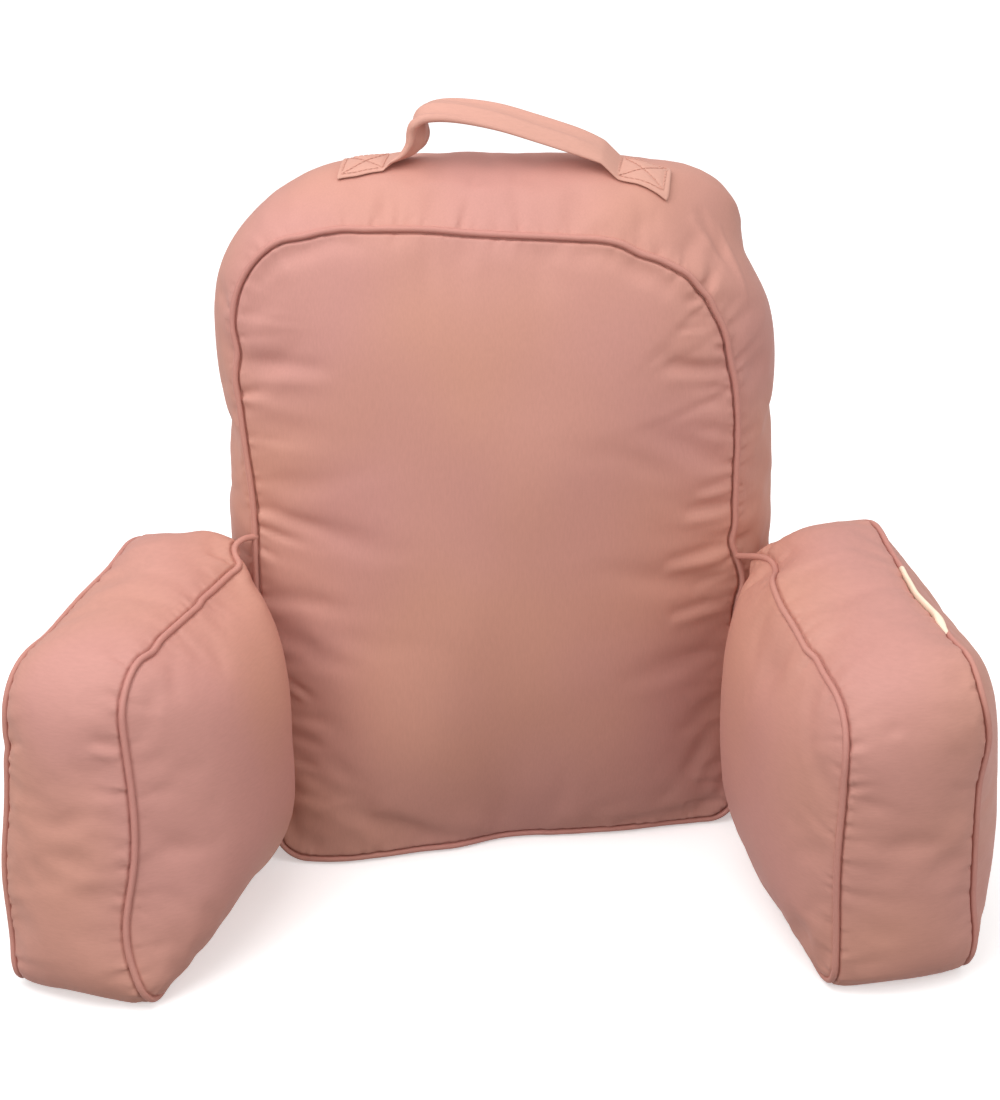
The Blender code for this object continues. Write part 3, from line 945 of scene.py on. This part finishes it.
# %% The arms
ARM_TUCKS = [
    Tucks(PANEL, 14, 6, 24, 0.6, 0, BACK_TOP),
    Tucks(BAND, 10, 5, 15, 0.8, 0, BACK_TOP),
    Tucks(BAND, 34, 14, 32, 0.7, 0, BACK_TOP),
]
LEFT_DITCHES = ((0.7, 1.4), (0.5, 1.7))
RIGHT_DITCHES = ((0.3, 1.5), (0.5, 1.7))
PANELS = ("inner", "outer")
arms = {}
for side, creases, swells, ditches, seed in (
    ("left", LEFT_CREASES, LEFT_SWELLS, LEFT_DITCHES, 21),
    ("right", RIGHT_CREASES, RIGHT_SWELLS, RIGHT_DITCHES, 31),
):
    arm_seams = [
        Seam(cords[f"{side}_{panel}"], *ditches[row], ARM_TUCKS, seed + row)
        for row, panel in enumerate(PANELS)
    ]
    outlines = [evened(loops[f"{side}_{panel}"], SPACING, True) for panel in PANELS]
    lumps = Lumps(0.9, 45, seed * 0.37)
    arms[side] = cushion(f"{side}_arm", arm_seams, outlines, creases, swells, lumps, False)

# %% [markdown]
# ## The covered cords
# Piping is a round cotton cord in a strip of the cover's cloth, cut on the bias and sewn into the
# seam. A curve with a round bevel is the natural way to make it. Its thickness varies a little
# from place to place, because the strip puckers as it goes round a bend, and it rises and sinks a
# little.

# %% Cord helpers
CORD_RADIUS = 1.75
CORD_FLOOR = 1.02
PUCKER_EVERY, PUCKER = 7, 0.045
SWAY_EVERY, SWAY = 24, 0.35


def gather_wave(length, seed, spacing):
    """An uneven row of small ripples along a seam: how strong each is at every millimetre."""
    chance = random.Random(seed)
    places = np.arange(int(length) + 2)
    wave = np.zeros(len(places))
    place = 0
    while place < length:
        place += chance.uniform(0.45, 1.7) * spacing
        width = chance.uniform(0.22, 0.42) * spacing
        wave += chance.uniform(-1, 0.55) * np.exp(-(((places - place) / width) ** 2))
    return wave


def cord_spline(curve, route, closed, seed):
    """The cord's middle line in the curve, with its puckers and its slight sway."""
    spline = curve.splines.new("POLY")
    spline.points.add(len(route) - 1)
    length = len(route) * SPACING
    thickness = gather_wave(length, seed, PUCKER_EVERY)
    wander = gather_wave(length, seed + 3, SWAY_EVERY)
    for index, (control, place) in enumerate(zip(spline.points, route)):
        ease = 1 if closed else min(index / 10, (len(route) - 1 - index) / 10, 1)
        millimetre = min(int(index * SPACING), len(wander) - 1)
        spot = Vector(place) + Vector((0, 0, 1)) * wander[millimetre] * SWAY * MM * ease
        spot.z = max(spot.z, CORD_RADIUS * MM * CORD_FLOOR)
        control.co = (*spot, 1)
        control.radius = 1 + PUCKER * thickness[millimetre]
    spline.use_cyclic_u = closed


def covered_cord(name, closed, replaced, seed):
    """The cord of the seam with this name, in place of a packed piping."""
    curve = bpy.data.curves.new(name, "CURVE")
    curve.dimensions = "3D"
    curve.bevel_depth = CORD_RADIUS * MM
    curve.bevel_resolution = 4
    curve.use_fill_caps = not closed
    cord_spline(curve, cords[name], closed, seed)
    made = linked(f"{name}_cord", curve_mesh(name, curve))
    made.data.shade_smooth()
    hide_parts(replaced)
    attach(made, "root")
    return made


print("thickness of the cord in mm:", 2 * CORD_RADIUS)

# %% The cords
cord_pieces = [
    covered_cord("back_front", True, "back_front_piping", 61),
    covered_cord("back_rear", True, "back_rear_piping", 62),
]
for side in arms:
    for panel in PANELS:
        name = f"{side}_{panel}"
        piping = f"{side}_arm_{panel}_piping"
        cord_pieces.append(covered_cord(name, False, piping, 70 + len(name)))
print("cords:", ", ".join(piece.name for piece in cord_pieces))

# %% [markdown]
# ## The strap's path
# The strap is a tube of the same cotton, turned right side out, pressed flat and stitched down at
# both ends. It is modelled directly, because a remesh would erase something so thin. The free span
# is a table of places with the direction across the strap at each, since it twists as it rises,
# and the sewn ends are places on the cushion's top, found by rays from above.

# %% The strap's path
STRAP_WIDTH = 25
STRAP_THICK = 2.4
SPAN_THICK = 5.2
STRAP_SKEW = 0.13
BESIDE = 14
LYING = 0.3 + STRAP_THICK / 2
DOWN = Vector((0, 0, -1))
Fold = namedtuple("Fold", "x y z across_x across_y across_z")
STRAP_SPAN = [
    Fold(-49.5, 9, 396.5, 0.40, 0.90, 0.02),
    Fold(-43, 9, 400, 0.46, 0.87, 0.03),
    Fold(-39, 9, 406, 0.45, 0.88, 0.06),
    Fold(-38.8, 9, 412.5, 0.36, 0.92, 0.10),
    Fold(-38, 8, 418, 0.22, 0.95, 0.14),
    Fold(-32.5, 8, 421.7, 0.08, 0.97, 0.18),
    Fold(-19, 8, 422, 0.02, 0.96, 0.26),
    Fold(3, 8, 418, 0.02, 0.94, 0.34),
    Fold(24, 8, 411.3, 0.02, 0.93, 0.36),
    Fold(49, 8, 402.5, 0.06, 0.93, 0.34),
    Fold(61, 8, 397.5, 0.10, 0.94, 0.28),
]
STRAP_LEFT = [(-81, 4), (-76, 5), (-71, 6), (-66, 7.2), (-61, 8.2), (-56, 9)]
STRAP_RIGHT = [(69, 8), (74, 7.6), (79, 7), (84, 6.2), (89, 5.3), (96, 4)]
ACROSS = np.linspace(-1, 1, BESIDE + 1)

back_tree = BVHTree.FromObject(back, bpy.context.evaluated_depsgraph_get())


def laid(x, y, lift):
    """A place on the back cushion's top, in metres, and the way up from it."""
    place, normal, _, _ = back_tree.ray_cast(Vector((x * MM, y * MM, 1)), DOWN)
    return place + normal * lift * MM, normal


def sewn_rows(ends):
    """Sections of a sewn end: their points across, the way up at each, and that they are sewn."""
    rows = []
    for end in smooth_path([(x, y, 0) for x, y in ends], 4):
        asides = [step * STRAP_WIDTH / 2 for step in ACROSS]
        spots = [laid(end.x + STRAP_SKEW * aside, end.y + aside, LYING) for aside in asides]
        rows.append(([point for point, _ in spots], [up for _, up in spots], True))
    return rows


def span_rows():
    """Sections of the free span, each square to the way it runs."""
    rows = []
    span = smooth_path([fold[:3] for fold in STRAP_SPAN], 6)
    turn = smooth_path([fold[3:] for fold in STRAP_SPAN], 6)
    for index, (place, across) in enumerate(zip(span, turn)):
        before = span[max(index - 1, 0)]
        after = span[min(index + 1, len(span) - 1)]
        normal = (after - before).cross(across).normalized()
        across = across.normalized()
        row = [(place + across * step * STRAP_WIDTH / 2) * MM for step in ACROSS]
        rows.append((row, [normal] * len(row), False))
    return rows


left_rows = sewn_rows(STRAP_LEFT)
strap_rows = left_rows + span_rows() + sewn_rows(STRAP_RIGHT)
print("sections of the strap:", len(strap_rows))

# %% [markdown]
# ## The strap's tube
# The tube starts as one flat ring of vertices, and each extrusion of its edges is the next
# section. The span is plump, with soft ridges along it from the folded cloth inside, and the ends
# are flat.

# %% The strap's tube
RIDGE, FINE_RIDGE = 0.34, 0.1


def grown_to(shape, edges, points):
    """The next section: the last one's edges, extruded onto these points."""
    grown = bmesh.ops.extrude_edge_only(shape, edges=edges)["geom"]
    verts = [item for item in grown if isinstance(item, bmesh.types.BMVert)]
    for vertex, point in zip(verts, points):
        vertex.co = point
    return [item for item in grown if isinstance(item, bmesh.types.BMEdge)]


def ring_points(row, ups, plump, drift):
    """The points round one section, along its underside and back over its upper side."""
    upper = []
    lower = []
    thick = STRAP_THICK + (SPAN_THICK - STRAP_THICK) * plump
    for step, point, up in zip(ACROSS, row, ups):
        ridges = RIDGE * math.cos((step + drift) * 5.5)
        ridges += FINE_RIDGE * math.cos(step * 15 + drift * 9)
        half = thick / 2 * max(1 - abs(step) ** 5, 0.02) ** 0.5 * (1 + plump * ridges)
        upper.append(point + up * half * MM)
        lower.append(point - up * half * MM)
    return lower + upper[-2:0:-1]


def strap_mesh(rows, laid_rows):
    """The flat tube, extruded from row to row, with both ends closed."""
    tube = bmesh.new()
    ring = [tube.verts.new(point) for point in ring_points(rows[0][0], rows[0][1], 0, 0)]
    first_edges = [tube.edges.new(pair) for pair in zip(ring, ring[1:] + ring[:1])]
    edges = first_edges
    for number, (row, ups, sewn_down) in enumerate(rows[1:], 1):
        inside = min(number - laid_rows, len(rows) - laid_rows - number) / 8
        plump = 0 if sewn_down else min(max(inside, 0), 1)
        drift = 0.25 * math.sin((number - 1) / 9)
        edges = grown_to(tube, edges, ring_points(row, ups, plump, drift))
    bmesh.ops.holes_fill(tube, edges=first_edges + edges)
    bmesh.ops.recalc_face_normals(tube, faces=tube.faces)
    mesh = bpy.data.meshes.new("strap")
    tube.to_mesh(mesh)
    tube.free()
    return mesh


strap = subdivided(linked("strap", strap_mesh(strap_rows, len(left_rows))))
print("the tube:", len(strap.data.polygons), "faces")

# %% [markdown]
# ## The stitched boxes
# A box with a cross holds each end. The thread sinks into the cloth and draws a line in it, so the
# strap gets a groove along every line, and in it lie the stitches: short thin cords, which are
# curves with a round bevel, joined to the strap's mesh.

# %% Thread helpers
THREAD_RADIUS, THREAD_SUNK = 0.24, 0.25
STITCH_EVERY, STITCH_FROM, STITCH_TO = 2.9, 0.3, 2.5
GROOVE_WIDTH, GROOVE_DEPTH = 1.1, 0.62


def grooves(places, lines):
    """How strongly the thread of the nearest line pulls each place down, from 0 to 1."""
    sink = np.zeros(len(places))
    for start, end in lines:
        start, end = np.array(start), np.array(end)
        along = (places - start) @ (end - start) / np.linalg.norm(end - start) ** 2
        line = start + np.clip(along, 0, 1)[:, None] * (end - start)
        away = np.linalg.norm(places - line, axis=1)
        sink = np.maximum(sink, np.exp(-((away / GROOVE_WIDTH) ** 2)))
    return sink


def stitches(tree, lines):
    """The thread of these lines as a curve, one short piece for each stitch."""
    thread = bpy.data.curves.new("strap_thread", "CURVE")
    thread.dimensions = "3D"
    thread.bevel_depth = THREAD_RADIUS * MM
    thread.bevel_resolution = 1
    thread.use_fill_caps = True
    for start, end in lines:
        start, end = np.array(start), np.array(end)
        length = np.linalg.norm(end - start)
        for number in range(int(length / STITCH_EVERY)):
            shares = [(number * STITCH_EVERY + part) / length for part in (STITCH_FROM, STITCH_TO)]
            marks = [start + (end - start) * share for share in shares]
            spots = [tree.ray_cast(Vector((x * MM, y * MM, 0.45)), DOWN)[0] for x, y in marks]
            if None in spots:
                continue
            stitch = thread.splines.new("POLY")
            stitch.points.add(1)
            for control, spot in zip(stitch.points, spots):
                control.co = (spot.x, spot.y, spot.z - THREAD_SUNK * MM, 1)
    return thread


print("length of a stitch in mm:", round(STITCH_TO - STITCH_FROM, 1))

# %% The strap sewn down
BOX_LEFT = [(-80, -5.5), (-58, -1), (-55, 18.5), (-77.5, 14.5)]
BOX_RIGHT = [(68.5, -2), (92.5, -5.2), (95.5, 14), (71.5, 18)]
stitch_lines = []
for box in (BOX_LEFT, BOX_RIGHT):
    stitch_lines += list(zip(box, box[1:] + box[:1])) + [(box[0], box[2]), (box[1], box[3])]
thread_mesh = curve_mesh("strap_thread", stitches(tree_of(strap.data), stitch_lines))
strap_points = points_of(strap.data)
sink = grooves(strap_points[:, :2] / MM, stitch_lines) * GROOVE_DEPTH * MM
sink *= normals_of(strap.data)[:, 2] > 0.3
strap_points[:, 2] -= sink
put_points(strap.data, strap_points)
both = bmesh.new()
both.from_mesh(strap.data)
both.from_mesh(thread_mesh)
both.to_mesh(strap.data)
both.free()
strap.data.shade_smooth()
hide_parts("handle")
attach(strap, "root")
print("strap:", len(strap.data.polygons), "faces")

# %% [markdown]
# ## The loop label
# A short piece of cream tape, folded lengthwise and caught in the outer seam of the right arm, so
# it follows that seam's line. Its section, a narrow arch, is extruded from place to place. The
# fold stands up beside the cord, opens a little near its front end, and gets its thickness from
# Solidify.

# %% The label's sections
LABEL_SECTION = [
    (-0.9, -1.4), (-0.95, 0.6), (-1.05, 2.4), (-0.8, 3.7), (0, 4.2),
    (0.8, 3.7), (1.05, 2.4), (0.95, 0.6), (0.9, -1.4),
]
LABEL_FRONT, LABEL_REAR, LABEL_LOW = -0.151, -0.078, 0.16
LABEL_ASIDE = Vector((-1.0, 0, 0.6))
LABEL_UP = Vector((-0.12, -0.05, 1)).normalized()
outer_seam = cords["right_outer"]
along_label = (outer_seam[:, 1] > LABEL_FRONT) & (outer_seam[:, 1] < LABEL_REAR)
label_path = outer_seam[along_label & (outer_seam[:, 2] > LABEL_LOW)][::-1]


def label_row(number):
    """The arch of folded tape at one place of the seam: low at both ends, open near the front."""
    last = len(label_path) - 1
    before, after = label_path[max(number - 1, 0)], label_path[min(number + 1, last)]
    surface = Vector(label_path[number]) + LABEL_ASIDE * MM
    across = Vector(after - before).normalized().cross(LABEL_UP).normalized()
    share = number / last
    tall = min(1, (share / 0.07) ** 0.5, ((1 - share) / 0.22) ** 0.6)
    tall *= 1 + 0.04 * math.sin(number * 0.5)
    spread = 1 + 0.9 * math.exp(-(((share - 0.86) / 0.07) ** 2))
    sway = 0.16 * math.sin(number * 0.3)
    row = []
    for side, rise in LABEL_SECTION:
        lifted = rise * tall if rise > 0 else rise
        row.append(surface + (across * (side * spread + sway) + LABEL_UP * lifted) * MM)
    return row


print("sections of the label:", len(label_path))

# %% The label
TAPE_THICK = 0.6
tape_shape = bmesh.new()
verts = [tape_shape.verts.new(point) for point in label_row(0)]
edges = [tape_shape.edges.new(pair) for pair in zip(verts, verts[1:])]
for number in range(1, len(label_path)):
    edges = grown_to(tape_shape, edges, label_row(number))
label_mesh = bpy.data.meshes.new("label_tape")
tape_shape.to_mesh(label_mesh)
tape_shape.free()
label = linked("label_tape", label_mesh)
body = label.modifiers.new("body", "SOLIDIFY")
body.thickness = TAPE_THICK * MM
body.offset = 0
subdivided(label)
label.data.shade_smooth()
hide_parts("label")
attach(label, "root")
print("label:", len(label.data.polygons), "faces")

# %% [markdown]
# ## Cotton sateen
# Sateen is a cotton weave whose threads float over four others before they dive, so it is smooth,
# and it shines softly in the direction of the threads. Mercerised yarn gives the pinkish bloom,
# drawn as slow clouds of a second colour. The threads are 0.15 mm apart, too fine for this
# picture, so they are drawn coarser, as faint slubs of 0.9 by 5 mm, which is about what the eye
# still reads. A noise on Object coordinates makes both, and the same slubs give a low bump.

# %% Sateen material
ROSE, ROSE_PINK = "#CC9482", "#C99187"
SHEEN = "#F4C8C4"
CLOUD_SCALE = 9
FACTOR, COLOUR_A, COLOUR_B, MIXED = 0, 6, 7, 2


def sateen_colour(material, place, slub, deep, pink):
    """The cloth's colour: two rose tones in slow clouds, a little lighter on each slub."""
    cloud = node(
        material,
        "ShaderNodeTexNoise",
        {"Vector": place},
        {"Scale": CLOUD_SCALE, "Detail": 1, "Roughness": 0.5},
    )
    bend = node(material, "ShaderNodeValToRGB", {"Fac": cloud.outputs["Fac"]})
    bend.color_ramp.elements[0].position = 0.35
    bend.color_ramp.elements[1].position = 0.65
    colour = node(
        material,
        "ShaderNodeMix",
        {FACTOR: bend.outputs["Color"]},
        {COLOUR_A: linear(deep), COLOUR_B: linear(pink)},
        data_type="RGBA",
    )
    fleck = node(
        material,
        "ShaderNodeMapRange",
        {"Value": slub},
        {"From Min": 0.3, "From Max": 0.7, "To Min": 0.972, "To Max": 1.025},
    )
    return node(
        material,
        "ShaderNodeMix",
        {COLOUR_A: colour.outputs[MIXED], COLOUR_B: fleck.outputs["Result"]},
        {FACTOR: 1},
        data_type="RGBA",
        blend_type="MULTIPLY",
    ).outputs[MIXED]


def sateen(name, grain, deep=ROSE, pink=ROSE_PINK):
    """Woven cotton with slubs that run along the longest side of the grain, in millimetres."""
    material = bpy.data.materials.new(name)
    material.use_nodes = True
    shader = material.node_tree.nodes["Principled BSDF"]
    links = material.node_tree.links
    place = node(material, "ShaderNodeTexCoord").outputs["Object"]
    scale = [1 / (size * MM) for size in grain]
    thread = node(material, "ShaderNodeMapping", {"Vector": place}, {"Scale": scale})
    slub = node(
        material,
        "ShaderNodeTexNoise",
        {"Vector": thread.outputs["Vector"]},
        {"Scale": 1, "Detail": 2, "Roughness": 0.6},
    ).outputs["Fac"]
    links.new(sateen_colour(material, place, slub, deep, pink), shader.inputs["Base Color"])
    bump = node(
        material, "ShaderNodeBump", {"Height": slub}, {"Strength": 0.25, "Distance": 0.2 * MM}
    )
    links.new(bump.outputs["Normal"], shader.inputs["Normal"])
    shader.inputs["Roughness"].default_value = 0.62
    shader.inputs["Specular IOR Level"].default_value = 0.3
    shader.inputs["Sheen Weight"].default_value = 0.1
    shader.inputs["Sheen Roughness"].default_value = 0.45
    shader.inputs["Sheen Tint"].default_value = linear(SHEEN)
    return material


print("clouds in the cloth, across in mm:", round(1 / CLOUD_SCALE / MM))

# %% [markdown]
# ## The finishes on the pieces
# All the cotton is one cloth, but its grain runs another way on each piece: upright on the back's
# panels, level on the arms', even in every direction on the cords, whose strip is cut on the bias,
# and along the strap. The cord's strip is pressed hard and looks a little darker. The strap's
# colour is painted a little paler, a painted highlight for the light that it catches from above.
# The label is a woven polyester tape, matt and cream.

# %% Finishes
sateen_back = sateen("cotton_sateen_back", (0.9, 0.9, 5))
sateen_arm = sateen("cotton_sateen_arm", (5, 5, 0.9))
sateen_cord = sateen("cotton_sateen_bias", (1.4, 1.4, 1.4), "#C88E80", "#C58A80")
# The strap's sateen is painted paler than the rest of the cloth: a painted highlight for the light
# from above.
strap_sateen_painted_light = sateen("cotton_sateen_painted_light_strap", (5, 1.0, 1.0), "#D29F8E", "#D09B8C")
tape = bpy.data.materials.new("woven_polyester_tape")
tape.use_nodes = True
tape.node_tree.nodes["Principled BSDF"].inputs["Base Color"].default_value = linear("#FBEBD2")

finishes = [(back, sateen_back), (strap, strap_sateen_painted_light), (label, tape)]
finishes += [(arm, sateen_arm) for arm in arms.values()]
finishes += [(piece, sateen_cord) for piece in cord_pieces]
for piece, material in finishes:
    piece.data.materials.clear()
    piece.data.materials.append(material)
print("materials:", ", ".join(material.name for material in bpy.data.materials))

# %% [markdown]
# ## The floor
# In a catalogue picture the cushion stands on a sheet of white paper lit from below as well, so
# the floor comes out paper white with only a faint shadow. A faint glow of its own does that here.
# The floor isn't seen by bounced light, or it would fill the shadows between the arms.

# %% Floor
bpy.ops.mesh.primitive_plane_add(size=30)
floor = bpy.context.object
floor.name = "studio_floor"
floor.visible_diffuse = False
paper = bpy.data.materials.new("matt_white_paper")
paper.use_nodes = True
paper_shader = paper.node_tree.nodes["Principled BSDF"]
paper_shader.inputs["Base Color"].default_value = (0.95, 0.95, 0.95, 1)
paper_shader.inputs["Emission Color"].default_value = (1, 1, 1, 1)
paper_shader.inputs["Emission Strength"].default_value = 0.4
paper_shader.inputs["Roughness"].default_value = 0.9
floor.data.materials.append(paper)
print("floor:", floor.name)

# %% [markdown]
# ## The sky
# The studio's walls and ceiling light the cushion from everywhere, strongest from above. The
# world's colour goes by height: pale overhead, grey at eye level, and dim and warm below, which
# stands in for the light that the cloth throws into its own shadows.

# %% Sky
world = bpy.data.worlds.new("white_sky")
scene.world = world
world.use_nodes = True
way = node(world, "ShaderNodeTexCoord").outputs["Generated"]
height = node(world, "ShaderNodeSeparateXYZ", {"Vector": way}).outputs["Z"]
upness = node(world, "ShaderNodeMapRange", {"Value": height}, {"From Min": -1, "From Max": 1})
sky = node(world, "ShaderNodeValToRGB", {"Fac": upness.outputs["Result"]})
sky.color_ramp.elements[0].color = (0.1, 0.06, 0.05, 1)
sky.color_ramp.elements[1].color = (0.8, 0.8, 0.8, 1)
horizon = sky.color_ramp.elements.new(0.5)
horizon.color = (0.38, 0.37, 0.36, 1)
background = world.node_tree.nodes["Background"]
world.node_tree.links.new(sky.outputs["Color"], background.inputs["Color"])
background.inputs["Strength"].default_value = 1.1
print("world:", world.name)

# %% [markdown]
# ## The soft boxes
# Three square lamps: one close above gives the tops their brightness and shades the lower part of
# the front panel, one in front on the left lifts the panels, and one on the right opens the right
# side. Large lamps make soft shadows, as in the photograph.

# %% Soft boxes
def soft_box(name, place, target, size, power):
    """A square area light that faces its target."""
    light = bpy.data.lights.new(name, "AREA")
    light.shape = "SQUARE"
    light.size = size
    light.energy = power
    lamp = linked(name, light)
    lamp.location = place
    aim = Vector(target) - Vector(place)
    lamp.rotation_euler = aim.to_track_quat("-Z", "Y").to_euler()


soft_box("overhead_box", (-0.3, -0.42, 1.15), (0, 0.02, 0.25), 0.9, 6.3)
soft_box("front_box", (-1.6, -2.1, 1.3), (0, 0, 0.2), 1.0, 15)
soft_box("side_box", (1.7, -1.3, 1.1), (0, 0, 0.2), 1.2, 9)
print("lamps:", ", ".join(light.name for light in bpy.data.lights))

# %% [markdown]
# ## The camera
# It stands where the photographer stood, 23 degrees above the cushion and nearly straight in
# front. The picture is tipped by one and a half degrees, so the camera is rolled by the same. A
# long lens keeps the arms from growing towards the viewer.

# %% Camera
ELEVATION, AZIMUTH, ROLL = math.radians(23.0), math.radians(1.5), math.radians(1.5)
AIM = Vector((0.001, -0.05, 0.19))
DISTANCE = 1.45
FOCAL_PIXELS, LONG_SIDE, SENSOR = 2636, 1100, 36
level = Vector((math.cos(AZIMUTH), math.sin(AZIMUTH), 0))
back_way = Vector(
    (
        math.sin(AZIMUTH) * math.cos(ELEVATION),
        -math.cos(AZIMUTH) * math.cos(ELEVATION),
        math.sin(ELEVATION),
    )
)
upward = back_way.cross(level)
right_way = level * math.cos(ROLL) - upward * math.sin(ROLL)
up_way = level * math.sin(ROLL) + upward * math.cos(ROLL)
lens = bpy.data.cameras.new("catalogue_camera")
lens.sensor_width = SENSOR
lens.lens = FOCAL_PIXELS / LONG_SIDE * SENSOR
camera = linked("catalogue_camera", lens)
place = AIM + back_way * DISTANCE
camera.matrix_world = Matrix(
    [[right_way[row], up_way[row], back_way[row], place[row]] for row in range(3)] + [[0, 0, 0, 1]]
)
scene.camera = camera
scene.view_settings.view_transform = "Standard"
print(f"lens {lens.lens:.1f} mm")
